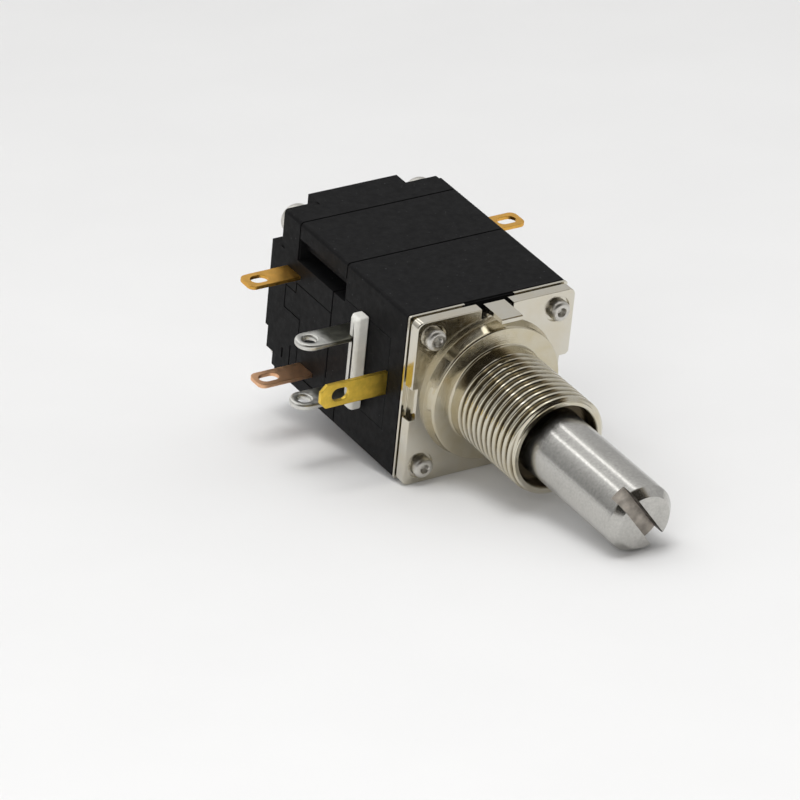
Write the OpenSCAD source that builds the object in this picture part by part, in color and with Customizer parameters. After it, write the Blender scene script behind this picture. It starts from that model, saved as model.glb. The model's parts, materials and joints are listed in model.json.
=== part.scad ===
// Square-bodied rheostat with a rear snap switch.
// The shaft lies along Y and points to -Y. The origin is on the shaft's axis
// in the mounting face of the bushing's hub, +Z up, terminals towards -X.
// All sizes are in millimetres.

/* [Shaft] */
// Diameter of the control shaft
shaft_d = 6.35; // [6:0.05:6.35]
// Length of the shaft in front of the mounting face
shaft_len = 23.05; // [16:0.05:50]
// Chamfer at the shaft's tip
tip_chamfer = 0.7; // [0.3:0.05:1]
// Width of the screwdriver slot
slot_w = 1.45; // [0.8:0.05:2]
// Depth of the screwdriver slot
slot_depth = 1.8; // [0.8:0.05:3]
// Angle of the slot below +X at rest
slot_turn = 52; // [0:1:90]
// Diameter of the step that carries the wiper rotor
step_d = 4.8; // [4.4:0.1:5.2]
// Diameter of the rear pilot that drives the switch
pilot_d = 3.3; // [2.8:0.1:3.6]

/* [Bushing] */
// Outer diameter of the bushing's thread
thread_d = 9.525; // [9:0.025:10.5]
// Length of the threaded bushing in front of the mounting face
thread_len = 9.8; // [6:0.1:12.7]
// Lead-in chamfer of the thread
thread_chamfer = 0.35; // [0.1:0.05:0.6]
// Pitch of the thread
thread_pitch = 0.79375; // [0.6:0.00625:1.1]
// Diameter of the hub's mounting face
hub_d = 13.0; // [12:0.1:14]
// Height of the hub above the front plate
hub_t = 1.2; // [0.8:0.1:2.5]
// How much wider the hub is at its foot
hub_flare = 0.5; // [0:0.1:0.8]
// Diameter of the bushing's open mouth
mouth_d = 8.0; // [7:0.1:8.6]
// Depth of the bushing's open mouth
mouth_depth = 1.2; // [0.5:0.1:3]
// Diameter of the spigot through the plates
spigot_d = 10.6; // [10:0.1:11]
// Width of the staked rim behind the plates
stake_w = 0.45; // [0.2:0.05:0.8]
// Thickness of the staked rim
stake_t = 0.5; // [0.3:0.1:0.6]

/* [Front plate] */
// Thickness of the front plate
plate_t = 1.1; // [0.8:0.1:1.6]
// Thickness of the thin backing plate
backing_t = 0.25; // [0.2:0.05:0.5]
// Width of the open joint between the two plates
joint_t = 0.23; // [0.1:0.01:0.3]
// Depth of the open joint
joint_depth = 0.4; // [0.2:0.05:0.6]
// Corner radius of the front plate
plate_corner_r = 0.7; // [0.3:0.1:1.2]
// Rounding of the front plate's front edges
edge_round = 0.1; // [0.05:0.05:0.5]
// Width of the bent locating lug
lug_w = 2.15; // [1.5:0.05:3]
// Sideways place of the lug
lug_x = 0.1; // [-1:0.1:1]
// Thickness of the lug
lug_t = 0.45; // [0.35:0.05:0.7]
// Reach of the lug beyond the mounting face
lug_reach = 1.0; // [0.3:0.1:2]
// Width of the relief slot on the lug's left
relief_left = 0.65; // [0.45:0.05:1]
// Width of the relief slot on the lug's right
relief_right = 0.5; // [0.45:0.05:1]
// Depth of the relief slots
relief_depth = 1.1; // [1:0.05:1.5]
// How much wider the backing plate's notch is on each side
notch_step = 0.9; // [0.3:0.05:1.2]
// Width of the notch in each side of the front plate
notch_w = 3.1; // [2:0.1:4]
// Depth of the left notch
notch_left = 0.65; // [0.5:0.05:1.2]
// Depth of the right notch
notch_right = 1.1; // [0.5:0.05:1.2]

/* [Housings] */
// Width and height of the housings
body_w = 16.3; // [16:0.1:17]
// Corner radius of the housings
corner_r = 0.35; // [0.2:0.05:0.6]
// Depth of the resistance housing
front_depth = 9.9; // [9.8:0.1:12]
// Depth of the switch housing
rear_depth = 7.9; // [7.9:0.1:9]
// Thickness of the rear cover
cover_t = 2.35; // [2.2:0.05:3.5]
// Thickness of the slightly smaller slab on the cover's back
slab_t = 0.65; // [0.3:0.05:0.9]
// Height of the cross-shaped boss above the cover's sides
boss_h = 2.05; // [1.7:0.05:3]
// Reach of the boss's upright bar to the left
boss_left = 4.8; // [4.2:0.05:4.8]
// Reach of the boss's upright bar to the right
boss_right = 4.5; // [4.2:0.05:4.8]
// Width of the boss's level bar and of the cover's side arms
arm_w = 8.7; // [8.2:0.1:8.8]
// Thickness of the cover's side arms
arm_t = 1.55; // [1.3:0.05:1.6]
// Width of the side grooves beside the arms
groove_w = 2.25; // [1.8:0.05:2.3]
// Depth of the side grooves next to the arms
groove_depth = 2.0; // [1.6:0.1:2.1]
// Radius of the resistance chamber
chamber_r = 6.4; // [6.4:0.05:6.45]
// Radius of the switch chamber
switch_r = 6.0; // [5.9:0.05:6.05]

/* [Rivets] */
// Distance of the tie rivets' centres from the housings' sides
rivet_in = 1.75; // [1.65:0.05:1.8]
// Shank diameter of the tie rivets
rivet_d = 1.4; // [1.2:0.05:1.45]
// Diameter of the front heads
front_head_d = 1.95; // [1.7:0.05:2.1]
// Height of the front heads
front_head_h = 0.75; // [0.4:0.05:1]
// Diameter of the rear heads
rear_head_d = 3.0; // [2.4:0.05:3.1]
// Height of the rear heads
rear_head_h = 1.35; // [0.8:0.05:1.5]

/* [Front terminals] */
// Width of the end terminals
end_w = 2.6; // [2:0.1:2.8]
// Thickness of the end terminals
end_t = 0.45; // [0.3:0.05:0.6]
// Reach of the end terminals beyond the housing
end_reach = 6.2; // [5:0.05:8]
// Height of the upper end terminal's top face
end_up_z = 2.9; // [2.7:0.05:3.2]
// Height of the lower end terminal's top face
end_low_z = -3.1; // [-3.2:0.05:-2.9]
// Distance of the end terminals behind the housing's front
end_back = 6.3; // [6:0.1:6.5]
// Hole in the end terminals
end_hole_d = 1.2; // [0.8:0.1:1.5]
// Thickness of the tinned pad around the hole
pad_t = 0.65; // [0.5:0.05:1]
// Length of the tinned pad
pad_len = 3.0; // [2.4:0.1:3.4]
// Width of the wiper terminal
wiper_w = 2.3; // [1.8:0.1:2.5]
// Thickness of the wiper terminal and its collector ring
wiper_t = 0.4; // [0.3:0.05:0.45]
// Reach of the wiper terminal beyond the housing
wiper_reach = 6.7; // [5:0.05:8]
// Height of the wiper terminal's middle
wiper_z = 0.2; // [0:0.05:0.4]
// Size of the square insulating bar
bar_w = 1.3; // [1.1:0.05:1.5]
// Length of the insulating bar
bar_len = 9.3; // [8.8:0.1:9.6]
// Height of the bar's middle
bar_z = 0.35; // [0:0.05:0.5]

/* [Switch terminals] */
// Width of the switch terminals
sw_w = 2.3; // [2:0.1:2.4]
// Thickness of the switch terminals
sw_t = 0.35; // [0.25:0.05:0.35]
// Reach of the rear pair beyond the housing
rear_reach = 5.1; // [4:0.05:7]
// Reach of the front pair beyond the housing
fore_reach = 5.3; // [4:0.05:7]
// Height of the rear pair's strip above the axis
rear_z = 2.87; // [2.6:0.01:3.1]
// Distance of the front pair's strip from the housing's top or bottom
fore_in = 2.78; // [2.75:0.01:2.85]

/* [Rheostat] */
// Outer radius of the wound ring
wound_r = 6.1; // [6:0.02:6.12]
// Radial thickness of the wound ring
wound_t = 0.5; // [0.4:0.05:0.5]
// Width of the wound ring along the axis
wound_w = 3.8; // [3:0.1:3.9]
// Thickness of the wire layer over the core
wire_t = 0.1; // [0.06:0.02:0.14]
// Half the angle that the winding covers
wound_half = 150; // [145:1:152]
// Angle of the wiper above +X at rest
wiper_turn = 38; // [0:1:90]
// Radius of the rotor's hub
rotor_r = 3.9; // [3.6:0.05:4]
// Half the turn from end to end
turn_half = 148; // [140:1:150]

/* [Switch] */
// Outer radius of the switch rotor's rim
drum_r = 5.1; // [4.9:0.05:5.1]
// Thickness of the contact blades
blade_t = 0.27; // [0.2:0.01:0.3]
// Angle that each contact blade covers
blade_span = 110; // [104:1:116]
// Turn of the switch rotor between on and off
switch_turn = 30; // [20:1:36]

/* [Hidden] */
$fn = 64;

// Clearances: pressed in one body, running, and the visible seams
fit = 0.03;
run = 0.05;
seam = 0.08;
eps = 0.01;
over = 1;

// Stations along the axis, front to back
y_plate = hub_t;
y_backing = y_plate + plate_t;
y_front = y_backing + joint_t + backing_t;
y_rear = y_front + front_depth;
y_cover = y_rear + rear_depth;
y_back = y_cover + cover_t;
y_slab = y_back + slab_t;
half = body_w / 2;
rivet_at = half - rivet_in;
arm_h = arm_w / 2;
reveal = 0.15;

// Inside the resistance housing
wall_y = y_front + stake_t + 0.1;
y_seat = y_front + 2.3;
partition_t = 0.8;
y_part = y_rear - partition_t;
part_r = 6.9;
y_leaf = y_seat + wiper_t + 0.5;
leaf_t = 0.2;
y_rotor = y_leaf + leaf_t;
y_wound = y_rotor + 0.5;
core_over = 5;
stop_half = 16;
lug_half = 180 - turn_half - stop_half - 1;
ring_ri = 4.35;
ring_ro = 5.3;

// The side window, its block and the gap behind the block
win_up = 4.7;
win_low = -4.5;
block_in = half - 1.65;
block_y1 = y_rear + 1.85;
arm_y = y_rear + 2.0;
arm_in = half - arm_t;

// The insulator let into each arm
ins_up = 2.1;
ins_y2 = y_cover - 0.1;
ins_tab = 1.1;
ins_y3 = y_cover + 1.6;
ins_y1 = y_cover - 1.1;
ins_low = arm_h + groove_w - 0.05;
ins_t = 0.8;
groove_mid = 1.05;

// Switch terminals
rear_y0 = y_cover - 0.6;
fore_y0 = y_cover - 3.9;
fore_z = half - fore_in;
contact_gap = 0.12;
blade_r = drum_r + fit + blade_t;
blade_mid = 198;
rotor_y0 = y_rear + 4;
// The detent sits halfway between the blades' ends as they sweep past it
detent_at = blade_mid - 90 + switch_turn / 2;
detent_h = 1.2;
detent_y0 = y_cover - detent_h - 0.7;

// A profile in X and Z, run from y0 over a length h
module along_y(y0, h) {
    translate([0, y0, 0]) rotate([-90, 0, 0]) mirror([0, 1, 0]) linear_extrude(h) children();
}

// A profile in Y and Z, run from x0 over a length h
module along_x(x0, h) {
    translate([x0, 0, 0]) rotate([90, 0, 90]) linear_extrude(h) children();
}

// A profile of radius and Y, turned about the axis
module turned(a = 360, from = 0) {
    rotate([0, -from, 0]) rotate([-90, 0, 0]) rotate([0, 0, -a]) rotate_extrude(angle = a) children();
}

// A ring or a sector of one, angles counted from +X towards +Z
module sector(ri, ro, y0, h, from = 0, a = 360) {
    turned(a, from) translate([ri, y0]) square([ro - ri, h]);
}

module rounded_square(w, r) {
    square([w, w - 2 * r], center = true);
    square([w - 2 * r, w], center = true);
    for (sx = [-1, 1], sz = [-1, 1])
        translate([sx * (w / 2 - r), sz * (w / 2 - r)]) circle(r, $fn = 24);
}

module at_rivets() {
    for (sx = [-1, 1], sz = [-1, 1]) translate([sx * rivet_at, 0, sz * rivet_at]) children();
}

module rivet_holes(y0, h) {
    at_rivets() turned() translate([0, y0 - eps]) square([rivet_d / 2 + fit, h + 2 * eps]);
}

// The same detail on the left side and, half a turn about Y, on the right
module both_sides() {
    children();
    rotate([0, 180, 0]) children();
}

// A square housing shell's outside with a fine reveal at its front end
module shell(y0, h) {
    along_y(y0, reveal + eps) rounded_square(body_w - 2 * reveal, corner_r);
    along_y(y0 + reveal, h - reveal) rounded_square(body_w, corner_r);
}

// A notch in each side of the front plate
module side_notches() {
    for (n = [[-1, notch_left, 0.05], [1, notch_right, 0.3]]) {
        s = n[0];
        e = n[2];
        along_y(y_plate - eps, plate_t + 2 * eps) polygon([
            [s * (half + over), notch_w / 2 + e + over],
            [s * half, notch_w / 2 + e],
            [s * (half - e), notch_w / 2],
            [s * (half - n[1]), notch_w / 2],
            [s * (half - n[1]), -notch_w / 2],
            [s * (half - e), -notch_w / 2],
            [s * half, -notch_w / 2 - e],
            [s * (half + over), -notch_w / 2 - e - over]
        ]);
    }
}

// The notch for the lug in each plate's top, wider by a step in the backing plate
module lug_notch(y0, h, step) {
    top_x = lug_x - lug_w / 2 - relief_left - step;
    top_w = relief_left + lug_w + relief_right + 2 * step;
    r = 0.35;
    along_y(y0 - eps, h + 2 * eps) translate([top_x, half - relief_depth]) {
        translate([r, 0]) square([top_w - 2 * r, relief_depth]);
        translate([0, r]) square([top_w, relief_depth + over]);
        for (x = [r, top_w - r]) translate([x, r]) circle(r, $fn = 24);
    }
}

module front_plate() {
    bend_r = 0.3;
    color("lightgoldenrodyellow") difference() {
        union() {
            difference() {
                hull() {
                    along_y(y_plate + edge_round, plate_t - edge_round - 0.1)
                        rounded_square(body_w, plate_corner_r);
                    along_y(y_backing - eps, eps)
                        rounded_square(body_w - 0.1, plate_corner_r);
                    along_y(y_plate + edge_round * 0.3, eps)
                        rounded_square(body_w - edge_round * 0.6, plate_corner_r);
                    along_y(y_plate, eps)
                        rounded_square(body_w - edge_round * 2, plate_corner_r);
                }
                side_notches();
                lug_notch(y_plate, plate_t, 0);
            }
            // The lug is bent forward out of the plate's top edge
            along_x(lug_x - lug_w / 2, lug_w) polygon([
                [y_backing, half - relief_depth - 0.1],
                [y_backing, half - bend_r],
                [y_backing - bend_r, half],
                [-lug_reach + 0.1, half],
                [-lug_reach, half - 0.1],
                [-lug_reach, half - lug_t],
                [y_plate - bend_r, half - lug_t],
                [y_plate, half - lug_t - bend_r],
                [y_plate, half - relief_depth - 0.1]
            ]);
        }
        turned() translate([0, y_plate - eps]) square([spigot_d / 2 + fit, plate_t + 2 * eps]);
        rivet_holes(y_plate, plate_t);
        // A shallow seat around each rivet head
        at_rivets() turned() translate([0, y_plate - over])
            square([front_head_d / 2 + 0.25, over + 0.2]);
    }
}

module backing_plate() {
    color("silver") difference() {
        union() {
            along_y(y_backing, joint_t + eps) rounded_square(body_w - 2 * joint_depth, plate_corner_r);
            along_y(y_backing + joint_t, backing_t) rounded_square(body_w, 0.25);
        }
        lug_notch(y_backing, joint_t + backing_t, notch_step);
        turned() translate([0, y_backing - eps])
            square([spigot_d / 2 + fit, joint_t + backing_t + 2 * eps]);
        rivet_holes(y_backing, joint_t + backing_t);
    }
}

// The thread's turns, as rings of its pitch and depth, in radius and Y
function turns() =
    let (
        r = thread_d / 2,
        y0 = -thread_len + thread_chamfer,
        n = floor((thread_len - thread_chamfer - 1) / thread_pitch),
        cut = min(0.58 * thread_pitch, (thread_d - mouth_d) / 2 - 0.12)
    ) [for (k = [0:n - 1], p = [[0, 0], [0.1, 0], [0.42, cut], [0.6, cut], [0.92, 0]])
        [r - p[1], y0 + (k + p[0]) * thread_pitch]];

module bushing() {
    seal_r = spigot_d / 2 - 1.1;
    y_seal = y_plate - 1.15;
    color("lightgoldenrodyellow") turned() polygon(concat([
        [mouth_d / 2, -thread_len],
        [thread_d / 2 - thread_chamfer, -thread_len]
    ], turns(), [
        [thread_d / 2, 0],
        [hub_d / 2 - 0.1, 0],
        [hub_d / 2, 0.1],
        [hub_d / 2 + hub_flare / 2, y_plate],
        [spigot_d / 2, y_plate],
        [spigot_d / 2, y_front],
        [spigot_d / 2 + stake_w, y_front],
        [spigot_d / 2 + stake_w, y_front + stake_t],
        [shaft_d / 2 + run, y_front + stake_t],
        [shaft_d / 2 + run, y_seal + 1.1],
        [seal_r, y_seal + 1.1],
        [seal_r, y_seal],
        [shaft_d / 2 + run, y_seal],
        [shaft_d / 2 + run, -thread_len + mouth_depth],
        [mouth_d / 2, -thread_len + mouth_depth]
    ]));
}

module shaft_seal() {
    seal_r = spigot_d / 2 - 1.1;
    y_seal = y_plate - 1.15;
    ri = shaft_d / 2 + run;
    ro = seal_r - fit;
    color("dimgray") turned() translate([(ri + ro) / 2, y_seal + 0.55]) circle((ro - ri) / 2, $fn = 32);
}

module shaft() {
    y_ring = y_front + stake_t + 0.1;
    relief_y = -thread_len - 0.1;
    color("silver") difference() {
        turned() polygon([
            [0, -shaft_len],
            [shaft_d / 2 - tip_chamfer, -shaft_len],
            [shaft_d / 2, -shaft_len + 1.15 * tip_chamfer],
            [shaft_d / 2, relief_y],
            [shaft_d / 2 - 0.25, relief_y],
            [shaft_d / 2 - 0.25, relief_y + 1],
            [shaft_d / 2, relief_y + 1],
            [shaft_d / 2, y_ring],
            [shaft_d / 2 - 0.45, y_ring],
            [shaft_d / 2 - 0.45, y_ring + 0.45],
            [shaft_d / 2, y_ring + 0.45],
            [shaft_d / 2, y_seat - 0.5],
            [step_d / 2, y_seat - 0.5],
            [step_d / 2, y_part - 0.6],
            [pilot_d / 2, y_part - 0.6],
            [pilot_d / 2, y_back - 0.1],
            [0, y_back - 0.1]
        ]);
        rotate([0, slot_turn, 0]) translate([-shaft_d, -shaft_len - over, -slot_w / 2])
            cube([2 * shaft_d, over + slot_depth, slot_w]);
    }
}

module shaft_ring() {
    color("gray") sector(shaft_d / 2 - 0.42, 3.9, y_front + stake_t + 0.12, 0.4, 120, 300);
}

// Everything that opens the window in the left side of the housings
module window_profile(c) {
    polygon([
        [y_seat - c, win_low - c], [y_seat - c, win_up + c],
        [y_rear, win_up + c], [y_rear, arm_h], [block_y1, arm_h],
        [block_y1, -arm_h - 0.05], [y_rear, -arm_h - 0.05], [y_rear, win_low - c]
    ]);
}

module front_housing() {
    color([0.13, 0.13, 0.14]) difference() {
        shell(y_front, front_depth);
        turned() polygon([
            [0, y_front - over],
            [spigot_d / 2 + stake_w + 0.15, y_front - over],
            [spigot_d / 2 + stake_w + 0.15, wall_y],
            [ring_ri - 0.05, wall_y],
            [ring_ri - 0.05, y_seat],
            [chamber_r, y_seat],
            [chamber_r, y_part],
            [part_r + run, y_part],
            [part_r + run, y_rear + over],
            [0, y_rear + over]
        ]);
        // The window in the left side that the terminal block fills
        translate([-half - over, y_seat, win_low])
            cube([half + over - 4.4, front_depth, win_up - win_low]);
        rivet_holes(y_front, front_depth);
    }
}

module terminal_block() {
    color([0.1, 0.1, 0.11]) difference() {
        along_x(-half, half - block_in) window_profile(-seam / 2);
        // Passages of the three terminals
        for (z = [end_up_z, end_low_z])
            translate([-half - over, y_front + end_back, z - end_t])
                cube([half + over, end_w, end_t]);
        translate([-half - over, y_seat - over, wiper_z - wiper_w / 2])
            cube([half + over, over + wiper_t, wiper_w]);
    }
}

module terminal_bar() {
    y0 = y_front + end_back - 0.5;
    color("white") difference() {
        translate([-half - bar_w, y0, bar_z - bar_len / 2]) hull() {
            translate([0.25, 0, 0]) cube([bar_w - 0.25, bar_w, bar_len]);
            translate([0, 0.3, 0.3]) cube([bar_w, bar_w - 0.6, bar_len - 0.6]);
        }
        for (z = [end_up_z, end_low_z])
            translate([-half - bar_w - over, y_front + end_back, z - end_t])
                cube([bar_w + 2 * over, bar_w, end_t]);
    }
}

// A solder tag's outline in X and Y, tip towards -X, corners cut at 45 degrees
module tag_outline(x_in, x_tip, w, cut) {
    polygon([
        [x_in, 0], [x_tip + cut, 0], [x_tip, cut],
        [x_tip, w - cut], [x_tip + cut, w], [x_in, w]
    ]);
}

// A long hole with round ends, along X
module long_hole(x0, x1, w) {
    translate([x0 + w / 2, -w / 2]) square([x1 - x0 - w, w]);
    for (x = [x0 + w / 2, x1 - w / 2]) translate([x, 0]) circle(w / 2, $fn = 32);
}

module end_terminal(z_top, x_in) {
    x_tip = -half - end_reach;
    y0 = y_front + end_back;
    lift = (pad_t - end_t) / 2;
    color("gainsboro") translate([0, y0, z_top - end_t]) difference() {
        union() {
            linear_extrude(end_t) tag_outline(x_in, x_tip, end_w, 0.75);
            translate([0, 0, -lift]) linear_extrude(pad_t) intersection() {
                tag_outline(x_in, x_tip, end_w, 0.75);
                translate([x_tip, 0]) square([pad_len, end_w]);
            }
        }
        translate([x_tip + 1.5, end_w / 2, -over])
            cylinder(h = pad_t + 2 * over, d = end_hole_d, $fn = 32);
    }
}

module end_terminal_upper() {
    end_terminal(end_up_z, -sqrt(pow(wound_r + 0.05, 2) - pow(end_up_z - end_t, 2)));
}

module end_terminal_lower() {
    end_terminal(end_low_z, -sqrt(pow(wound_r + 0.05, 2) - pow(end_low_z, 2)));
}

module wiper_terminal() {
    x_tip = -half - wiper_reach;
    color("gold") difference() {
        union() {
            sector(ring_ri, ring_ro, y_seat, wiper_t);
            along_y(y_seat, wiper_t) translate([0, wiper_z - wiper_w / 2])
                tag_outline(-ring_ri - 0.4, x_tip, wiper_w, 0.6);
        }
        along_y(y_seat - eps, wiper_t + 2 * eps) translate([0, wiper_z])
            long_hole(x_tip + 1.15, x_tip + 2.85, 1.25);
    }
}

module winding_core() {
    a = wound_half + core_over;
    color("tan") sector(wound_r - wound_t + wire_t, wound_r - wire_t, y_wound + wire_t,
        wound_w - 2 * wire_t, -a, 2 * a);
}

module resistance_winding() {
    color("peru") difference() {
        sector(wound_r - wound_t, wound_r, y_wound, wound_w, -wound_half, 2 * wound_half);
        sector(wound_r - wound_t + wire_t, wound_r - wire_t, y_wound + wire_t,
            wound_w - 2 * wire_t, -wound_half - core_over, 2 * (wound_half + core_over));
    }
}

module rotor() {
    color("saddlebrown") union() {
        sector(step_d / 2 + fit, rotor_r, y_rotor, y_part - 0.8 - y_rotor);
        sector(rotor_r - 0.3, ring_ro - 0.2, y_rotor + 1, y_part - 2.2 - y_rotor,
            wiper_turn - lug_half, 2 * lug_half);
    }
}

module wiper() {
    arm = 1.6;
    tip_r = wound_r - wound_t / 2;
    color("gold") rotate([0, -wiper_turn, 0]) union() {
        difference() {
            union() {
                sector(step_d / 2 + fit, rotor_r - 0.4, y_leaf, leaf_t);
                translate([-ring_ro + 0.05, y_leaf, -arm / 2])
                    cube([ring_ro - 0.05 + tip_r + 0.25, leaf_t, arm]);
            }
            sector(0, step_d / 2 + fit, y_leaf - eps, leaf_t + 2 * eps);
        }
        // Buttons: two on the collector ring, one on the edge of the winding
        for (s = [-1, 1])
            translate([s * (ring_ri + ring_ro) / 2, y_seat + wiper_t + run, 0]) rotate([-90, 0, 0])
                cylinder(h = 0.5 - run + eps, r = 0.35, $fn = 24);
        translate([tip_r, y_leaf + leaf_t - eps, 0]) rotate([-90, 0, 0])
            cylinder(h = 0.5 - run + eps, r = 0.22, $fn = 24);
    }
}

module partition() {
    color("sienna") difference() {
        union() {
            sector(pilot_d / 2 + 1, part_r, y_part, partition_t);
            // The stop post that the rotor's lug meets at each end
            sector(rotor_r + 0.3, ring_ro - 0.05, y_part - 3.2, 3.2 + eps,
                180 - stop_half, 2 * stop_half);
        }
        translate([-half - over, y_part - 4, -half])
            cube([half + over - block_in + fit, 6, body_w]);
    }
}

// Grooves beside each arm, along the whole switch housing
module grooves() {
    both_sides() {
        translate([-half - over, y_rear - eps, arm_h])
            cube([over + groove_depth, rear_depth + 2 * eps, groove_mid]);
        translate([-half - over, y_rear - eps, arm_h])
            cube([over + ins_t, rear_depth + 2 * eps, groove_w]);
    }
}

// Passages of the switch terminals, seen from the left and half a turn round
module switch_slots() {
    both_sides() {
        translate([-half - over, rear_y0, rear_z - sw_t / 2])
            cube([half + over - 3, sw_w, sw_t]);
        translate([-half - over, fore_y0, -fore_z - sw_t / 2])
            cube([half + over, sw_w, sw_t]);
    }
}

module rear_housing() {
    color([0.13, 0.13, 0.14]) difference() {
        shell(y_rear, rear_depth);
        turned() polygon([
            [0, y_rear - over], [3.2, y_rear - over], [3.2, y_rear + partition_t],
            [switch_r, y_rear + partition_t], [switch_r, y_cover + over], [0, y_cover + over]
        ]);
        // The terminal block's rear end
        translate([-half - over, y_rear - over, -arm_h - 0.05])
            cube([half + over - block_in, over + arm_y - y_rear, arm_w + 0.05]);
        // Pockets of the side arms and of the insulators
        both_sides() {
            translate([-half - over, arm_y, -arm_h])
                cube([over + arm_t, rear_depth, arm_w]);
            translate([-half - over, arm_y, -ins_low - seam])
                cube([over + ins_t, ins_y1 - arm_y + seam, ins_low + seam]);
        }
        grooves();
        switch_slots();
        rivet_holes(y_rear, rear_depth);
    }
}

// Outline in Y and Z of the insulator that is let into an arm
module insulator_profile(c) {
    polygon([
        [arm_y, ins_up + c], [ins_y2 + c, ins_up + c], [ins_y2 + c, ins_tab + c],
        [ins_y3 + c, ins_tab + c], [ins_y3 + c, -ins_tab - c], [ins_y1 + c, -ins_tab - c],
        [ins_y1 + c, -arm_h], [arm_y, -arm_h]
    ]);
}

module rear_cover() {
    slab_in = cover_t - 0.8;
    color([0.13, 0.13, 0.14]) difference() {
        union() {
            shell(y_cover, cover_t);
            along_y(y_back - eps, slab_t + eps) rounded_square(body_w - 0.2, corner_r);
            along_y(y_back - eps, boss_h + eps) intersection() {
                rounded_square(body_w, corner_r);
                union() {
                    square([body_w, arm_w], center = true);
                    translate([-boss_left, -half]) square([boss_left + boss_right, body_w]);
                }
            }
            // A lower ledge beside the boss that shields a rivet
            both_sides() translate([-half, y_back - eps, -arm_h - 2.1])
                cube([0.9, boss_h - 0.45, 2.1 + eps]);
            both_sides() difference() {
                translate([-half, arm_y, -arm_h]) cube([arm_t, y_cover - arm_y + 0.3, arm_w]);
                along_x(-half - over, 2 * over + arm_t) translate([-over, 0]) insulator_profile(seam);
            }
        }
        both_sides() along_x(-half - over, over + arm_t) insulator_profile(seam);
        turned() polygon([
            [0, y_cover - over], [switch_r - 0.1, y_cover - over],
            [switch_r - 0.1, y_cover + slab_in], [pilot_d / 2 + run, y_cover + slab_in],
            [pilot_d / 2 + run, y_back + 0.2], [0, y_back + 0.2]
        ]);
        // A short moulding mark low on each arm
        both_sides() translate([-half - over, y_cover + 1.2, -arm_h - 1.9])
            cube([over + 0.3, 0.25, 1]);
        switch_slots();
        rivet_holes(y_cover, cover_t + slab_t);
        at_rivets() turned() translate([0, y_slab]) square([rear_head_d / 2 + 0.08, over + boss_h]);
    }
}

module switch_insulator() {
    color([0.16, 0.16, 0.17]) difference() {
        union() {
            along_x(-half, arm_t) insulator_profile(0);
            translate([-half, arm_y, -ins_low])
                cube([ins_t, ins_y1 - arm_y, ins_low - arm_h + eps]);
        }
        translate([-half - over, fore_y0, -fore_z - sw_t / 2])
            cube([over + arm_t + eps, sw_w, sw_t]);
    }
}

module switch_insulator_left() { switch_insulator(); }
module switch_insulator_right() { rotate([0, 180, 0]) switch_insulator(); }

// A switch terminal: a flat strip with a round-cornered tip and a long hole
module switch_tag(x_in, reach, y0, z0, h0, h1) {
    x_tip = -half - reach;
    r = 0.65;
    color([0.85, 0.6, 0.35]) translate([0, y0, z0 - sw_t / 2]) linear_extrude(sw_t) difference() {
        union() {
            translate([x_tip + r, 0]) square([x_in - x_tip - r, sw_w]);
            translate([x_tip, r]) square([r + eps, sw_w - 2 * r]);
            for (y = [r, sw_w - r]) translate([x_tip + r, y]) circle(r, $fn = 32);
        }
        translate([0, sw_w / 2]) long_hole(x_tip + h0, x_tip + h1, 1.2);
    }
}

module rear_tag() {
    x_in = -sqrt(pow(blade_r + contact_gap, 2) - pow(rear_z - sw_t / 2, 2));
    switch_tag(x_in, rear_reach, rear_y0, rear_z, 0.7, 2.35);
}

module fore_tag() {
    // Into the chamber as far as its wall allows, at least to a short way off the middle
    x_in = 0.1 - sqrt(max(1, pow(switch_r - 0.2, 2) - pow(fore_z + sw_t / 2, 2)));
    switch_tag(x_in, fore_reach, fore_y0, -fore_z, 0.5, 2.4);
}

module terminal_left_rear() { rear_tag(); }
module terminal_left_fore() { fore_tag(); }
module terminal_right_rear() { rotate([0, 180, 0]) rear_tag(); }
module terminal_right_fore() { rotate([0, 180, 0]) fore_tag(); }

module switch_driver() {
    y0 = y_rear + 1.2;
    color("ivory") union() {
        sector(pilot_d / 2 + fit, 2.6, y0, 2);
        sector(2.5, 3.05, y0, 2, wiper_turn - 14, 28);
    }
}

module switch_rotor() {
    rim_h = y_cover + 1 - rotor_y0;
    color("ivory") difference() {
        union() {
            sector(pilot_d / 2 + run, 2.6, rotor_y0, 2.4);
            sector(2.5, drum_r - 0.5, rotor_y0 + 1, 1);
            sector(drum_r - 0.6, drum_r, rotor_y0 - 0.1, rim_h);
            // The fork that the driver's lug enters at the end of its turn
            for (a = [-1, 1])
                sector(3.35, 4.3, rotor_y0 - 2, 3 + eps, 180 + a * 24 - 8, 16);
        }
        // Two notches for the detent spring
        for (a = [detent_at, detent_at - switch_turn])
            rotate([0, -a, 0]) translate([drum_r + 0.1, rotor_y0 - over, 0]) rotate([-90, 0, 0])
                cylinder(h = rim_h + 2 * over, r = 0.3, $fn = 24);
    }
}

module contact_blades() {
    color("gold") both_sides()
        sector(drum_r + fit, blade_r, rotor_y0, y_cover + 0.9 - rotor_y0,
            blade_mid - blade_span / 2, blade_span);
}

// Points of an arc about the axis, in X and Z
function arc(r, a0, a1, n) = [for (i = [0:n]) let (a = a0 + (a1 - a0) * i / n) [r * cos(a), r * sin(a)]];

module detent_spring() {
    r_in = blade_r + 0.05;
    r_out = r_in + 0.2;
    foot_r = switch_r - fit;
    color("gray") rotate([0, -detent_at, 0]) along_y(detent_y0, detent_h) polygon(concat(
        arc(foot_r, -24, -20, 2), arc(r_out, -20, 20, 12), arc(foot_r, 20, 24, 2),
        arc(r_in, 24, 2, 6), [[drum_r + run, 0]], arc(r_in, -2, -24, 6)
    ));
}

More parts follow.
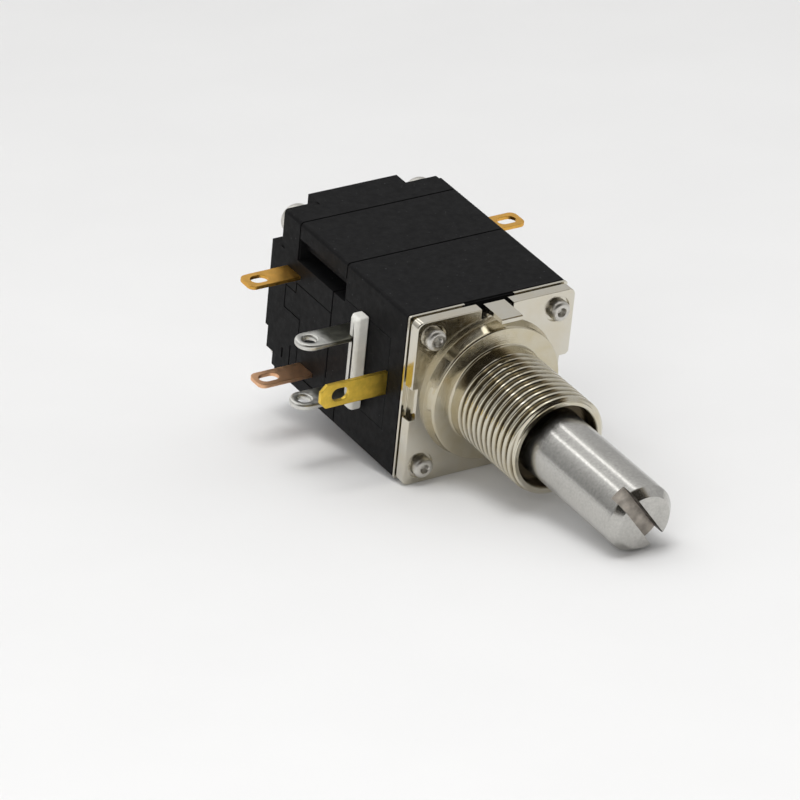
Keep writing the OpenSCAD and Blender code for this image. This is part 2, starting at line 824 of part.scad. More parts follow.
module tie_rivets() {
    hf = front_head_d / 2;
    hr = rear_head_d / 2;
    color("silver") at_rivets() turned() polygon([
        [0, y_plate - front_head_h + 0.45],
        [0.3, y_plate - front_head_h + 0.45],
        [0.42, y_plate - front_head_h],
        [hf - 0.3, y_plate - front_head_h],
        [hf - 0.08, y_plate - front_head_h + 0.12],
        [hf, y_plate - front_head_h + 0.35],
        [hf, y_plate + 0.2],
        [rivet_d / 2, y_plate + 0.2],
        [rivet_d / 2, y_slab],
        [hr, y_slab],
        [hr, y_slab + rear_head_h * 0.35],
        [hr * 0.86, y_slab + rear_head_h * 0.7],
        [hr * 0.55, y_slab + rear_head_h * 0.94],
        [0, y_slab + rear_head_h]
    ]);
}

front_plate();
backing_plate();
bushing();
shaft();
shaft_ring();
shaft_seal();
front_housing();
terminal_block();
terminal_bar();
end_terminal_upper();
end_terminal_lower();
wiper_terminal();
winding_core();
resistance_winding();
rotor();
wiper();
partition();
rear_housing();
rear_cover();
switch_insulator_left();
switch_insulator_right();
terminal_left_rear();
terminal_left_fore();
terminal_right_rear();
terminal_right_fore();
switch_driver();
switch_rotor();
contact_blades();
detent_spring();
tie_rivets();
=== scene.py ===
import json
import math

import bmesh
import bpy
from mathutils import Matrix, Vector, noise

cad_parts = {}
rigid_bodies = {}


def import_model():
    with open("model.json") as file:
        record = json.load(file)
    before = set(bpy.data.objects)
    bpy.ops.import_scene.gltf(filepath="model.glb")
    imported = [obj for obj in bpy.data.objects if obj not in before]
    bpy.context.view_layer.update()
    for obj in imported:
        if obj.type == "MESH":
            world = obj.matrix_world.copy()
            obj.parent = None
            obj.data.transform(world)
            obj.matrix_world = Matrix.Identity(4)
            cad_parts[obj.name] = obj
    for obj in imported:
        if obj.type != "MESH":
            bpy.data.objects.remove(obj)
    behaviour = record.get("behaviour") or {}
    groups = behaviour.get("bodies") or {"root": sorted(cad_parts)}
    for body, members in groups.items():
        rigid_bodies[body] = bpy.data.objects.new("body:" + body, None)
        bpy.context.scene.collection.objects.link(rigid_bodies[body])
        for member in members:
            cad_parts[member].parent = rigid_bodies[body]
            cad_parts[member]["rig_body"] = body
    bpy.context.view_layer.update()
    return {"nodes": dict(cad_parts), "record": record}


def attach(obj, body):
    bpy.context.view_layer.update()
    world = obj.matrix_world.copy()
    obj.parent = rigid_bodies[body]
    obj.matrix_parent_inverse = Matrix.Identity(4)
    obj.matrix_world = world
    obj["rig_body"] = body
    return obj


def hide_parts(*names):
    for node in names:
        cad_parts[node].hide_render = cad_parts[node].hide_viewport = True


# A square-bodied rheostat with a slotted shaft, a threaded bushing and a rear snap switch.
# Shapes are written in millimetres and scaled to metres by MM. The textures run in metres, so a
# noise of scale 1000 has grains of about a millimetre. The shaft runs along Y, its tip towards
# -Y, with +Z up and the solder terminals towards -X, as in the CAD frame.
MM = 0.001

SHAFT_TIP = -23.05
SHAFT_RADIUS = 3.175
SLOT_TURN = math.radians(52)
SLOT_WIDTH = 1.45
SLOT_DEPTH = 1.8

THREAD_PITCH = 25.4 / 32
BUSHING_FRONT = -9.8

WELD = 0.0005           # corners nearer to each other than this become one

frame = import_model()
NODES = frame["nodes"]
SLOT_OF = {s["node"]: s["material_slot"] for s in frame["record"]["subparts"]}
BODY_OF = {node: o["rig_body"] for node, o in NODES.items()}


def place(name, data):
    """Puts new data into the scene as an object."""
    obj = bpy.data.objects.new(name, data)
    bpy.context.scene.collection.objects.link(obj)
    return obj


# ------------------------------------------------------------------ camera
def add_camera():
    """The main view, from the front left and above and a little tilted."""
    data = bpy.data.cameras.new("camera")
    data.lens = 245.36
    data.sensor_width = 36
    data.clip_start, data.clip_end = 0.02, 20
    cam = place("camera", data)
    azimuth, elevation, roll = math.radians(-35.024), math.radians(30.397), math.radians(5.88)
    forward = -Vector((math.sin(azimuth) * math.cos(elevation),
                       -math.cos(azimuth) * math.cos(elevation), math.sin(elevation)))
    right = forward.cross(Vector((0, 0, 1))).normalized()
    up = right.cross(forward)
    r = math.cos(roll) * right + math.sin(roll) * up
    u = -math.sin(roll) * right + math.cos(roll) * up
    cam.matrix_world = Matrix((
        (r.x, u.x, -forward.x, 0), (r.y, u.y, -forward.y, 0),
        (r.z, u.z, -forward.z, 0), (0, 0, 0, 1)))
    # How far ahead, to the right and above its middle the camera sees a point of the shaft's axis
    anchor = Vector((0, -0.3 * MM, 0))
    ahead, aside, above = 473.72 * MM, 8.534 * MM, 0.416 * MM
    cam.location = anchor - (ahead * forward + aside * r + above * u)
    bpy.context.scene.camera = cam


add_camera()
bpy.context.scene.view_settings.view_transform = "Standard"


# ------------------------------------------------------------------ node helpers
class Tree:
    """Adds nodes to a node tree and links them, in one line each."""

    def __init__(self, tree):
        self.tree = tree

    def add(self, kind, **props):
        n = self.tree.nodes.new(kind)
        for key, value in props.items():
            setattr(n, key, value)
        return n

    def wire(self, out, into):
        self.tree.links.new(out, into)

    def feed(self, sock, v):
        """Gives a socket a number, a colour or another node's output."""
        if isinstance(v, (int, float)):
            sock.default_value = v if sock.type == "VALUE" else (v, v, v, 1)
        elif isinstance(v, tuple):
            sock.default_value = (*v, 1)
        else:
            self.wire(v, sock)

    def ramp(self, fac, *stops):
        """Greys or colours over a value, as (value, grey or colour) stops."""
        n = self.add("ShaderNodeValToRGB")
        marks = n.color_ramp.elements
        while len(marks) < len(stops):
            marks.new(0.5)
        for mark, (at, c) in zip(marks, stops):
            mark.position = at
            mark.color = (c, c, c, 1) if isinstance(c, (int, float)) else (*c, 1)
        self.wire(fac, n.inputs["Fac"])
        return n.outputs["Color"]

    def mix(self, fac, a, b, how="MIX"):
        n = self.add("ShaderNodeMix", data_type="RGBA", blend_type=how)
        for key, v in (("Factor", fac), ("A", a), ("B", b)):
            self.feed(n.inputs[key], v)
        return n.outputs["Result"]

    def math(self, op, a, b=0.0):
        n = self.add("ShaderNodeMath", operation=op)
        self.feed(n.inputs[0], a)
        self.feed(n.inputs[1], b)
        return n.outputs[0]

    def xyz(self, vector):
        n = self.add("ShaderNodeSeparateXYZ")
        self.wire(vector, n.inputs[0])
        return n.outputs


class Mat(Tree):
    """A Principled material whose textures run in the object's own coordinates."""

    def __init__(self, name):
        self.material = bpy.data.materials.new(name)
        self.material.use_nodes = True
        super().__init__(self.material.node_tree)
        self.shader = self.tree.nodes["Principled BSDF"]
        self.co = self.add("ShaderNodeTexCoord").outputs["Object"]

    def put(self, **values):
        """Sets the shader's own sockets, with _ for the blanks in their names."""
        for key, value in values.items():
            self.shader.inputs[key.replace("_", " ")].default_value = value

    def scaled(self, sx, sy, sz):
        n = self.add("ShaderNodeMapping")
        n.inputs["Scale"].default_value = (sx, sy, sz)
        self.wire(self.co, n.inputs["Vector"])
        return n.outputs["Vector"]

    def noise(self, scale, detail, rough, vec=None):
        n = self.add("ShaderNodeTexNoise")
        n.inputs["Scale"].default_value = scale
        n.inputs["Detail"].default_value = detail
        n.inputs["Roughness"].default_value = rough
        self.wire(self.co if vec is None else vec, n.inputs["Vector"])
        return n.outputs["Fac"]

    def colour(self, sock):
        self.wire(sock, self.shader.inputs["Base Color"])

    def rough(self, fac, low, high):
        """Roughness over a noise, as two (noise, roughness) stops."""
        self.wire(self.ramp(fac, low, high), self.shader.inputs["Roughness"])

    def bump(self, height, dist, strength):
        """Lays a relief over the ones before it."""
        n = self.add("ShaderNodeBump")
        n.inputs["Distance"].default_value = dist
        n.inputs["Strength"].default_value = strength
        self.wire(height, n.inputs["Height"])
        normal = self.shader.inputs["Normal"]
        if normal.is_linked:
            self.wire(normal.links[0].from_socket, n.inputs["Normal"])
        self.wire(n.outputs["Normal"], normal)

    def turned(self, spread):
        """Metal whose fine marks run round the Y axis and spread the highlights along it."""
        self.put(Metallic=1.0, Anisotropic=spread, Anisotropic_Rotation=0.25)
        tangent = self.add("ShaderNodeTangent", direction_type="RADIAL", axis="Y")
        self.wire(tangent.outputs[0], self.shader.inputs["Tangent"])


def shade(tone, *by):
    """A tone times one number, or times one number for each channel."""
    return tuple(c * k for c, k in zip(tone, by * 3 if len(by) == 1 else by))


# ------------------------------------------------------------------ materials
def moulding(name, tone, rough):
    """Black moulded plastic: fine grain, faint mottling, a few pale specks of dust."""
    m = Mat(name)
    dust_tone, dust_weight = (0.3, 0.3, 0.31), 0.2
    mottled = m.ramp(m.noise(900, 4, 0.6),
                     (0.3, shade(tone, 0.85, 0.85, 0.9)), (0.7, shade(tone, 1.25, 1.25, 1.3)))
    dust = m.ramp(m.noise(5200, 1, 0.5), (0.76, 0.0), (0.8, 1.0))
    m.colour(m.mix(m.math("MULTIPLY", dust, dust_weight), mottled, dust_tone))
    m.put(Specular_IOR_Level=0.07)
    m.rough(m.noise(1500, 3, 0.6), (0.3, rough - 0.06), (0.7, rough + 0.1))
    m.bump(m.noise(4200, 3, 0.6), 0.00002, 0.5)
    return m.material


def plated(name, tone, rough, stain):
    """Nickel plate: bright, slightly warm, with cloudy tarnish."""
    m = Mat(name)
    m.put(Metallic=1.0)
    clouds = m.ramp(m.noise(420, 5, 0.62), (0.35, shade(tone, 0.92, 0.84, 0.66)), (0.62, tone))
    m.colour(m.mix(stain, tone, clouds))
    m.rough(m.noise(1300, 4, 0.65), (0.3, rough * 0.75), (0.75, rough * 1.5))
    m.bump(m.noise(2600, 3, 0.6), 0.00001, 0.35)
    return m.material


def turned_metal(name, tone, rough, spread):
    """Ground shaft stock: a fine grain drawn out round the axis, under faint clouds."""
    m = Mat(name)
    m.turned(spread)
    fine = m.noise(1.0, 3, 0.6, m.scaled(900, 14000, 900))
    cloud = m.noise(520, 4, 0.6)
    grain = m.mix(0.55, m.mix(0.5, fine, cloud), m.noise(4500, 2, 0.7))
    m.colour(m.ramp(grain, (0.36, shade(tone, 0.8)), (0.64, shade(tone, 1.03))))
    m.rough(m.noise(1.0, 3, 0.6, m.scaled(1500, 7000, 1500)),
            (0.3, rough * 0.85), (0.7, rough * 1.2))
    m.bump(m.noise(1.0, 2, 0.6, m.scaled(5200, 9000, 5200)), 0.000004, 0.6)
    return m.material


def threaded_metal(name, tone, rough, spread):
    """Turned nickel plate: bright crests, painted shade that darkens the thread's roots and the
    bore to brown-black, rings on the faces.
    """
    m = Mat(name)
    m.turned(spread)
    x, y, z = m.xyz(m.co)
    radius = m.math("SQRT", m.math("ADD", m.math("MULTIPLY", x, x), m.math("MULTIPLY", z, z)))
    plate = m.ramp(m.noise(620, 5, 0.62), (0.36, shade(tone, 0.95, 0.92, 0.84)), (0.62, tone))
    # Painted shade: the stops are radii in centimetres, from the thread's root, painted dark
    # brown, to near its crest; the bore, inside the root, takes the darkest stop
    painted_root_shade = m.ramp(m.math("MULTIPLY", radius, 100),
                  (0.439, (0.1, 0.085, 0.065)), (0.458, (0.5, 0.47, 0.42)), (0.47, 1.0))
    # The painted shade is laid only between -9.4 and -1.2 mm along Y, over the thread's roots and
    # the bore inside them
    thread_middle, thread_half = -5.3 * MM, 4.1 * MM
    off_middle = m.math("ABSOLUTE", m.math("SUBTRACT", y, thread_middle))
    on_thread = m.math("LESS_THAN", off_middle, thread_half)
    m.colour(m.mix(on_thread, plate, m.mix(1.0, plate, painted_root_shade, "MULTIPLY")))
    m.rough(m.noise(1600, 4, 0.65), (0.3, rough * 0.8), (0.75, rough * 1.5))
    rings = m.add("ShaderNodeTexNoise", noise_dimensions="1D")
    rings.inputs["Scale"].default_value = 3600
    rings.inputs["Detail"].default_value = 3
    m.wire(radius, rings.inputs["W"])
    m.bump(rings.outputs["Fac"], 0.00002, 0.5)
    m.bump(m.noise(2600, 3, 0.6), 0.000008, 0.3)
    return m.material


def plain_metal(name, tone, rough, vary=0.2, relief=0.4):
    """Stamped or milled metal, clouded by as much as vary."""
    m = Mat(name)
    m.put(Metallic=1.0)
    m.colour(m.ramp(m.noise(1100, 5, 0.6), (0.3, shade(tone, 1 - vary)), (0.7, tone)))
    m.rough(m.noise(2300, 3, 0.6), (0.3, rough * 0.75), (0.75, rough * 1.4))
    m.bump(m.noise(3200, 3, 0.6), 0.000012, relief)
    return m.material


def dipped_metal(name, tone, bare, rough):
    """Bright solder round the eye that thins out to dull bare metal along the arm."""
    m = Mat(name)
    m.put(Metallic=1.0)
    # X in millimetres with a ragged edge, then 0 at -16 mm and 1 at -6 mm
    ragged = m.math("ADD", m.math("MULTIPLY", m.xyz(m.co)[0], 1000),
                    m.math("MULTIPLY", m.noise(900, 3, 0.6), 0.8))
    along = m.math("ADD", m.math("MULTIPLY", ragged, 0.1), 1.6)
    worn = m.noise(1500, 5, 0.65)
    solder = m.ramp(worn, (0.3, shade(tone, 0.82)), (0.7, tone))
    arm = m.ramp(worn, (0.3, shade(bare, 0.7)), (0.7, bare))
    m.colour(m.mix(m.ramp(along, (0.45, 0.0), (0.54, 1.0)), solder, arm))
    m.rough(m.noise(2300, 3, 0.6), (0.3, rough * 0.75), (0.75, rough * 1.4))
    m.bump(m.noise(2200, 4, 0.6), 0.00002, 0.5)
    return m.material


def plain_plastic(name, tone, rough):
    """Moulded plastic, rubber or fibre with faint clouds."""
    m = Mat(name)
    m.colour(m.ramp(m.noise(1300, 4, 0.6), (0.3, shade(tone, 0.88)), (0.7, tone)))
    m.rough(m.noise(2500, 3, 0.6), (0.3, rough * 0.85), (0.7, rough * 1.15))
    m.bump(m.noise(3800, 3, 0.6), 0.00001, 0.4)
    return m.material


# The look of each of the record's slots
BY_SLOT = {slot: make(slot, *look) for make, slot, *look in (
    (moulding, "black_moulding", (0.0075, 0.0075, 0.0075), 0.5),
    (plated, "nickel_plate", (0.67, 0.64, 0.56), 0.14, 0.35),
    (threaded_metal, "nickel_bushing", (0.65, 0.615, 0.52), 0.11, 0.3),
    (turned_metal, "shaft_steel", (0.56, 0.55, 0.52), 0.22, 0.7),
    (dipped_metal, "tinned_brass", (0.76, 0.755, 0.71), (0.3, 0.3, 0.25), 0.37),
    (plain_metal, "gold_plate", (0.92, 0.64, 0.1), 0.37, 0.28, 0.2),
    (plain_metal, "copper_alloy", (0.93, 0.56, 0.33), 0.4, 0.15, 0.2),
    (plain_metal, "rivet_metal", (0.72, 0.7, 0.65), 0.37),
    (plain_metal, "spring_steel", (0.5, 0.5, 0.5), 0.3),
    (plain_metal, "resistance_wire", (0.45, 0.36, 0.26), 0.35),
    (plain_plastic, "white_insulator", (0.85, 0.84, 0.79), 0.5),
    (plain_plastic, "seal_rubber", (0.02, 0.02, 0.02), 0.7),
    (plain_plastic, "fibre", (0.4, 0.28, 0.16), 0.7),
    (plain_plastic, "phenolic", (0.2, 0.1, 0.05), 0.4),
    (plain_plastic, "ivory_nylon", (0.74, 0.7, 0.58), 0.4),
)}
# Surfaces that differ from the rest of their slot
FLANGE = threaded_metal("nickel_flange", (0.6, 0.555, 0.44), 0.175, 0.8)
SLOT_FLOOR = plain_metal("milled_floor", (0.66, 0.6, 0.53), 0.42, 0.45)
# The slot's walls are painted near black: painted shade of the narrow slot and painted dark
# reflection, on plain steel
SLOT_WALL_PAINTED_SHADE = plain_metal("slot_wall_painted_shade", (0.1, 0.09, 0.075), 0.4, 0.3)
BRASSY = plain_metal("copper_alloy_yellow", (0.86, 0.48, 0.1), 0.37, 0.2, 0.2)

for node, solid in NODES.items():
    solid.data.materials.clear()
    solid.data.materials.append(BY_SLOT[SLOT_OF[node]])


# ------------------------------------------------------------------ mesh helpers
def only(geom, kind):
    return [g for g in geom if isinstance(g, kind)]


def to_mesh(name, bm):
    mesh = bpy.data.meshes.new(name)
    bm.to_mesh(mesh)
    bm.free()
    return mesh


def smooth(mesh, sharp):
    """Smooth shading, with edges above the angle in degrees kept sharp."""
    for p in mesh.polygons:
        p.use_smooth = True
    mesh.set_sharp_from_angle(angle=math.radians(sharp))


def add_piece(name, bm, node, sharp=32):
    """Finishes a bmesh as a piece that stands for a CAD node."""
    bm.normal_update()
    mesh = to_mesh(name, bm)
    smooth(mesh, sharp)
    obj = place(name, mesh)
    mesh.materials.append(BY_SLOT[SLOT_OF[node]])
    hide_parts(node)
    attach(obj, BODY_OF[node])
    return obj


def bevel(obj, width, segments, angle):
    """Rounds the edges above the angle in degrees, by the width in millimetres."""
    b = obj.modifiers.new("edges", "BEVEL")
    b.width = width * MM
    b.segments = segments
    b.limit_method = "ANGLE"
    b.angle_limit = math.radians(angle)
    b.harden_normals = True
    b.miter_outer = "MITER_ARC"


def softened(name, node, width, segments=2, angle=30):
    """A copy of a CAD node's solid with its flat faces made whole and its edges rounded."""
    bm = bmesh.new()
    bm.from_mesh(NODES[node].data)
    bmesh.ops.remove_doubles(bm, verts=bm.verts, dist=WELD * MM)
    bmesh.ops.dissolve_limit(bm, angle_limit=math.radians(0.2), verts=bm.verts, edges=bm.edges,
                             delimit={"NORMAL"})
    obj = add_piece(name, bm, node)
    bevel(obj, width, segments, angle)
    even = obj.modifiers.new("even", "WEIGHTED_NORMAL")
    even.keep_sharp = True
    return obj


def round_y(a, r, y):
    """The point in metres at angle a about the Y axis, radius r and place y in millimetres."""
    return (r * math.cos(a) * MM, y * MM, r * math.sin(a) * MM)


def lathe(bm, profile, n):
    """Turns a closed profile of (radius, y) in millimetres about the Y axis, in n steps."""
    rings = [[bm.verts.new(round_y(2 * math.pi * j / n, r, y)) for r, y in profile]
             for j in range(n)]
    k = len(profile)
    for j in range(n):
        here, there = rings[j], rings[(j + 1) % n]
        for i in range(k):
            bm.faces.new((here[i], here[(i + 1) % k], there[(i + 1) % k], there[i]))
    bmesh.ops.remove_doubles(bm, verts=bm.verts, dist=WELD * MM)
    bmesh.ops.recalc_face_normals(bm, faces=bm.faces)


# ------------------------------------------------------------------ mouldings and flat parts
for node in ("front_housing", "rear_housing", "rear_cover", "terminal_block",
             "switch_insulator_left", "switch_insulator_right"):
    softened(node + "_body", node, 0.07)
softened("plate", "front_plate", 0.06, angle=40)
softened("backing", "backing_plate", 0.04, angle=40)
softened("bar", "terminal_bar", 0.36, segments=5)
softened("wiper_tag", "wiper_terminal", 0.06)
for node in ("terminal_left_rear", "terminal_left_fore",
             "terminal_right_rear", "terminal_right_fore"):
    tag = softened(node + "_tag", node, 0.06)
    if node != "terminal_left_fore":
        tag.data.materials[0] = BRASSY


# ------------------------------------------------------------------ soldered eyelets
def make_eyelet(name, node, z_top, x_in):
    """A flat arm with a round eye, dipped in solder so that its edges are fat and soft."""
    tip, near, width, thick, hole_radius = -14.35, 9.08, 2.6, 0.45, 0.6
    swollen = 0.65                  # the thickness where the solder stands highest
    slab = swollen - 0.14           # the thickness before the solder swells
    half = width / 2
    eye_x, eye_y = tip + half + 0.02, near + half
    arc_starts = eye_x + 1.5
    mid = z_top - thick / 2

    def round_eye(radius, degrees):
        return [(eye_x + radius * math.cos(math.radians(d)),
                 eye_y + radius * math.sin(math.radians(d))) for d in degrees]

    outline = [(x_in, near), (arc_starts, near), *round_eye(half, range(-90, -271, -9)),
               (arc_starts, near + width), (x_in, near + width)]
    bm = bmesh.new()
    edges = []
    for points in (outline, round_eye(hole_radius, range(0, 360, 15))):
        vs = [bm.verts.new((x * MM, y * MM, (mid - slab / 2) * MM)) for x, y in points]
        edges += [bm.edges.new((vs[i], vs[(i + 1) % len(vs)])) for i in range(len(vs))]
    flat = bmesh.ops.triangle_fill(bm, use_beauty=True, use_dissolve=False, edges=edges)["geom"]
    raised = bmesh.ops.extrude_face_region(bm, geom=only(flat, bmesh.types.BMFace))["geom"]
    bmesh.ops.translate(bm, verts=only(raised, bmesh.types.BMVert), vec=(0, 0, slab * MM))
    rims = [e for e in bm.edges if len(e.link_faces) == 2 and e.calc_face_angle(0) > 1.2]
    bmesh.ops.recalc_face_normals(bm, faces=bm.faces)
    bmesh.ops.bevel(bm, geom=rims, offset=0.19 * MM, segments=4, profile=0.5, affect="EDGES",
                    clamp_overlap=True)
    # The solder stands highest in a ring round the eye and has run thin along the arm
    ring_radius, ring_reach = 0.95, 0.75
    for v in bm.verts:
        away = math.hypot(v.co.x / MM - eye_x, v.co.y / MM - eye_y)
        fat = max(0.0, 1 - abs(away - ring_radius) / ring_reach)
        lump = noise.noise(v.co * 900) * 0.03
        scale = min(0.86 + 0.38 * fat + lump, swollen / slab)
        v.co.z = (mid + (v.co.z / MM - mid) * scale) * MM
    add_piece(name, bm, node, sharp=50)


make_eyelet("upper_eyelet", "end_terminal_upper", 2.9, -5.7)
make_eyelet("lower_eyelet", "end_terminal_lower", -3.1, -5.4)


# ------------------------------------------------------------------ rivets
def make_rivets():
    """Four tubular rivets: a rolled end in front, a plain shank and a domed head behind."""
    bm = bmesh.new()
    rolled_end = [(0, 0.9), (0.22, 0.88), (0.3, 0.8), (0.38, 0.56), (0.46, 0.46), (0.62, 0.45),
                  (0.8, 0.5), (0.92, 0.62), (0.97, 0.82), (0.975, 1.4), (0.7, 1.4)]
    domed_head = [(0.7, 23.58), (1.5, 23.58), (1.5, 24.05), (1.46, 24.32), (1.34, 24.56),
                  (1.14, 24.75), (0.86, 24.86), (0.45, 24.92), (0, 24.93)]
    lathe(bm, rolled_end + domed_head, 48)
    first = bm.verts[:] + bm.edges[:] + bm.faces[:]
    off = 6.4 * MM          # from the shaft's axis, along both X and Z
    bmesh.ops.translate(bm, verts=bm.verts, vec=(off, 0, off))
    for sx, sz in ((-1, 1), (-1, -1), (1, -1)):
        copy = bmesh.ops.duplicate(bm, geom=first)["geom"]
        bmesh.ops.translate(bm, verts=only(copy, bmesh.types.BMVert),
                            vec=((sx - 1) * off, 0, (sz - 1) * off))
    add_piece("rivets", bm, "tie_rivets")


make_rivets()


# ------------------------------------------------------------------ threaded bushing
def thread_radius(theta, y):
    """Radius of the 32-per-inch thread, with its lead-in chamfer and its run-out at the neck."""
    crest, root = 4.7625, 4.37
    turn = ((y - THREAD_PITCH * theta / (2 * math.pi)) / THREAD_PITCH) % 1.0
    off_crest = min(turn, 1 - turn) * 2     # 0 at the crest's middle, 1 at the root's
    crest_land, flank = 0.26, 0.62
    t = min(1, max(0, (off_crest - crest_land) / flank))
    t = t * t * (3 - 2 * t) * 0.7 + t * 0.3
    run_out_ends, run_out = -1.15, 0.45
    depth = (crest - root) * t * min(1, max(0, (run_out_ends - y) / run_out))
    chamfer = 4.42 + (y - BUSHING_FRONT) * 1.05
    return min(crest - depth, chamfer)


def make_bushing():
    """The bore, the thread, the round flange in front of the plate and the collar behind it."""
    bm = bmesh.new()
    columns, per_turn = 160, 16
    thread_back = -1.0
    turns = int((thread_back - BUSHING_FRONT) / THREAD_PITCH) + 3
    bore = [(3.225, 3.28), (3.225, -8.6), (3.95, -8.6), (4.0, -8.65), (4.0, -9.72), (4.08, -9.8)]
    flange = [(4.76, -0.26), (4.79, -0.13), (4.86, -0.04), (5.0, 0), (6.34, 0), (6.43, 0.03),
              (6.5, 0.1), (6.53, 0.3), (6.66, 0.95), (6.75, 1.2)]
    collar = [(5.3, 1.2), (5.3, 2.78), (5.75, 2.78), (5.75, 3.28)]

    def column(j):
        a = 2 * math.pi * j / columns
        thread = []
        for k in range(turns * per_turn + 1):
            # The rows climb by one pitch in a turn, so that they follow the crest
            y = (BUSHING_FRONT - THREAD_PITCH + THREAD_PITCH * k / per_turn
                 + THREAD_PITCH * j / columns)
            y = min(thread_back, max(BUSHING_FRONT, y))
            thread.append((thread_radius(a, y), y))
        return [bm.verts.new(round_y(a, r, y)) for r, y in bore + thread + flange + collar]

    here = column(0)
    k = len(here)
    for j in range(columns):
        there = column(j + 1)
        for i in range(k):
            bm.faces.new((here[i], here[(i + 1) % k], there[(i + 1) % k], there[i]))
        here = there
    bmesh.ops.remove_doubles(bm, verts=bm.verts, dist=0.0008 * MM)
    bmesh.ops.recalc_face_normals(bm, faces=bm.faces)
    bushing = add_piece("threaded_bushing", bm, "bushing", sharp=38)
    bushing.data.materials.append(FLANGE)
    for p in bushing.data.polygons:
        if p.center.y > -0.5 * MM and math.hypot(p.center.x, p.center.z) > 4.8 * MM:
            p.material_index = 1


make_bushing()


# ------------------------------------------------------------------ control shaft
def slot_cutter():
    """A block across the shaft's tip, as wide as the screwdriver slot and twice as deep."""
    bm = bmesh.new()
    bmesh.ops.create_cube(bm, size=1)
    bmesh.ops.scale(bm, vec=(9 * MM, 2 * SLOT_DEPTH * MM, SLOT_WIDTH * MM), verts=bm.verts)
    bmesh.ops.rotate(bm, cent=(0, 0, 0), matrix=Matrix.Rotation(SLOT_TURN, 3, "Y"),
                     verts=bm.verts)
    bmesh.ops.translate(bm, vec=(0, SHAFT_TIP * MM, 0), verts=bm.verts)
    return place("slot", to_mesh("slot", bm))


def make_shaft():
    """Chamfered tip, plain journal, retaining groove and stepped drive end, with the slot cut."""
    bm = bmesh.new()
    lathe(bm, [(0, SHAFT_TIP), (2.44, SHAFT_TIP), (2.5, -23.03), (2.56, -22.97), (3.11, -22.33),
               (3.16, -22.25), (SHAFT_RADIUS, -22.16), (SHAFT_RADIUS, 3.38), (2.725, 3.38),
               (2.725, 3.83), (SHAFT_RADIUS, 3.83), (SHAFT_RADIUS, 4.58), (2.4, 4.58),
               (2.4, 11.28), (1.65, 11.28), (1.65, 22.83), (0, 22.83)], 160)
    shaft = add_piece("control_shaft", bm, "shaft", sharp=28)
    cutter = slot_cutter()
    cut = shaft.modifiers.new("slot", "BOOLEAN")
    cut.operation, cut.object, cut.solver = "DIFFERENCE", cutter, "EXACT"
    bpy.context.view_layer.update()
    whole = shaft.evaluated_get(bpy.context.evaluated_depsgraph_get())
    mesh = bpy.data.meshes.new_from_object(whole)
    shaft.modifiers.clear()
    shaft.data = mesh
    bpy.data.objects.remove(cutter)
    smooth(mesh, 28)
    mesh.materials.append(SLOT_FLOOR)
    mesh.materials.append(SLOT_WALL_PAINTED_SHADE)
    across = Vector((math.sin(SLOT_TURN), 0, math.cos(SLOT_TURN)))
    tip, floor = (SHAFT_TIP + 0.05) * MM, (SHAFT_TIP + SLOT_DEPTH + 0.05) * MM
    # The slot's floor gets the rougher milled metal, its two walls the near-black painted shade
    for p in mesh.polygons:
        if p.center.y > floor:
            continue
        if p.center.y > tip and p.normal.y < -0.99:
            p.material_index = 1
        elif (abs(p.normal.dot(across)) > 0.99
              and abs(p.center.dot(across)) < (SLOT_WIDTH / 2 + 0.025) * MM):
            p.material_index = 2
    bevel(shaft, 0.05, 2, 40)


make_shaft()


# ------------------------------------------------------------------ floor, world and lamps
PAPER = 0.84            # the backdrop's grey, and about the floor's


def make_floor():
    """White paper under the part, which stands on its shaft's tip and the plate's lower edge."""
    front, tip = Vector((0, 1.2, -8.15)) * MM, Vector((0, -22.25, -SHAFT_RADIUS)) * MM
    along = (tip - front).normalized()
    side = Vector((1, 0, 0))
    reach = 1.5
    middle = front - Vector((0, 0, 0.02 * MM))
    bm = bmesh.new()
    corners = [middle + reach * (sx * side + sy * along)
               for sx, sy in ((-1, -1), (1, -1), (1, 1), (-1, 1))]
    bm.faces.new([bm.verts.new(c) for c in corners])
    bm.normal_update()
    if bm.faces[:][0].normal.z < 0:
        bmesh.ops.reverse_faces(bm, faces=bm.faces)
    floor = place("floor", to_mesh("floor", bm))
    m = Mat("floor_paper")
    m.put(Roughness=0.9, Specular_IOR_Level=0.1)
    m.colour(m.ramp(m.noise(60, 2, 0.5), (0.3, PAPER - 0.005), (0.7, PAPER + 0.01)))
    # Seen from below, the paper is clear
    mix = m.add("ShaderNodeMixShader")
    m.wire(m.add("ShaderNodeNewGeometry").outputs["Backfacing"], mix.inputs[0])
    m.wire(m.shader.outputs[0], mix.inputs[1])
    m.wire(m.add("ShaderNodeBsdfTransparent").outputs[0], mix.inputs[2])
    m.wire(mix.outputs[0], m.tree.nodes["Material Output"].inputs[0])
    floor.data.materials.append(m.material)


make_floor()


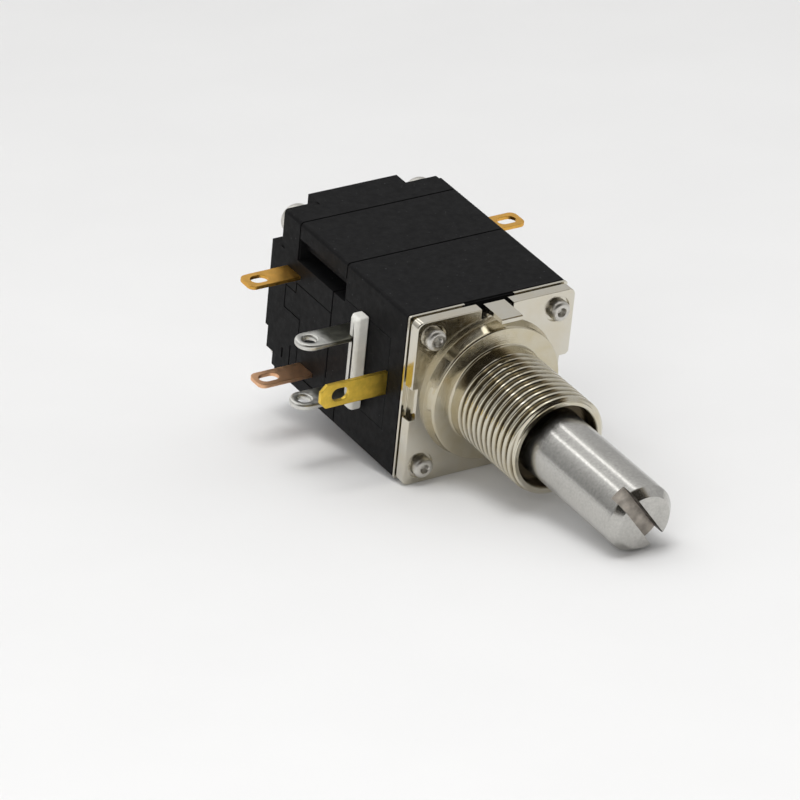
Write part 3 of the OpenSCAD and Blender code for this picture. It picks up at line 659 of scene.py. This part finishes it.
def make_world():
    """A white light tent, dim at both sides and dark in front, with two tubes overhead."""
    world = bpy.data.worlds.new("studio")
    bpy.context.scene.world = world
    world.use_nodes = True
    w = Tree(world.node_tree)
    towards = w.add("ShaderNodeTexCoord").outputs["Generated"]
    x, y, z = w.xyz(towards)
    # The white backdrop by the angle about Y: 0 right, 0.5 straight up, 1 left
    turn = w.math("ARCTAN2", z, x)
    sky = w.ramp(w.math("DIVIDE", turn, math.pi), (0.0, 0.5), (0.16, 0.6), (0.32, 0.66),
                 (0.4, 0.88), (0.69, 0.86), (0.8, 0.56), (0.97, 0.38))
    # The room in front of it is dark, brown where it meets the backdrop
    into_room = w.add("ShaderNodeVectorMath", operation="DOT_PRODUCT")
    w.wire(towards, into_room.inputs[0])
    into_room.inputs[1].default_value = (-0.25, -0.75, 0.61)
    room = w.ramp(into_room.outputs["Value"], (0.58, 1.0), (0.66, (0.36, 0.28, 0.17)),
                  (0.72, (0.03, 0.026, 0.02)))
    sky = w.mix(1.0, sky, room, "MULTIPLY")
    # Two tubes run along Y over the backdrop, at these angles about Y
    tube_light = 1.6
    for at in (1.38, 1.99):
        off = w.math("ABSOLUTE", w.math("SUBTRACT", turn, at))
        tube = w.ramp(off, (0.045, 1.0), (0.075, 0.0))
        ends = w.ramp(y, (0.2, 0.0), (0.3, 1.0))
        tube = w.mix(1.0, w.mix(1.0, tube, ends, "MULTIPLY"), tube_light, "MULTIPLY")
        sky = w.mix(1.0, sky, tube, "ADD")
    # The camera sees the pale backdrop everywhere, metal and glass see it below the horizon
    ray = w.add("ShaderNodeLightPath").outputs
    mirrored = w.math("MAXIMUM", ray["Is Glossy Ray"], ray["Is Transmission Ray"])
    below = w.math("MULTIPLY", mirrored, w.math("LESS_THAN", z, 0.0))
    sky = w.mix(w.math("MAXIMUM", ray["Is Camera Ray"], below), sky, PAPER)
    w.wire(sky, w.tree.nodes["Background"].inputs["Color"])


make_world()


def add_lamp(name, at, side, power):
    """A square lamp aimed at the origin."""
    data = bpy.data.lights.new(name, "AREA")
    data.size = side
    data.energy = power
    lamp = place(name, data)
    lamp.location = at
    lamp.rotation_euler = (-Vector(at)).to_track_quat("-Z", "Y").to_euler()
    # The metal mirrors the tent and its tubes and not the lamps, which would burn out in it
    lamp.visible_glossy = False


add_lamp("key", (-0.09, 0.04, 0.58), 0.26, 1.42)
add_lamp("fill", (-0.34, -0.3, 0.3), 0.3, 0.9)
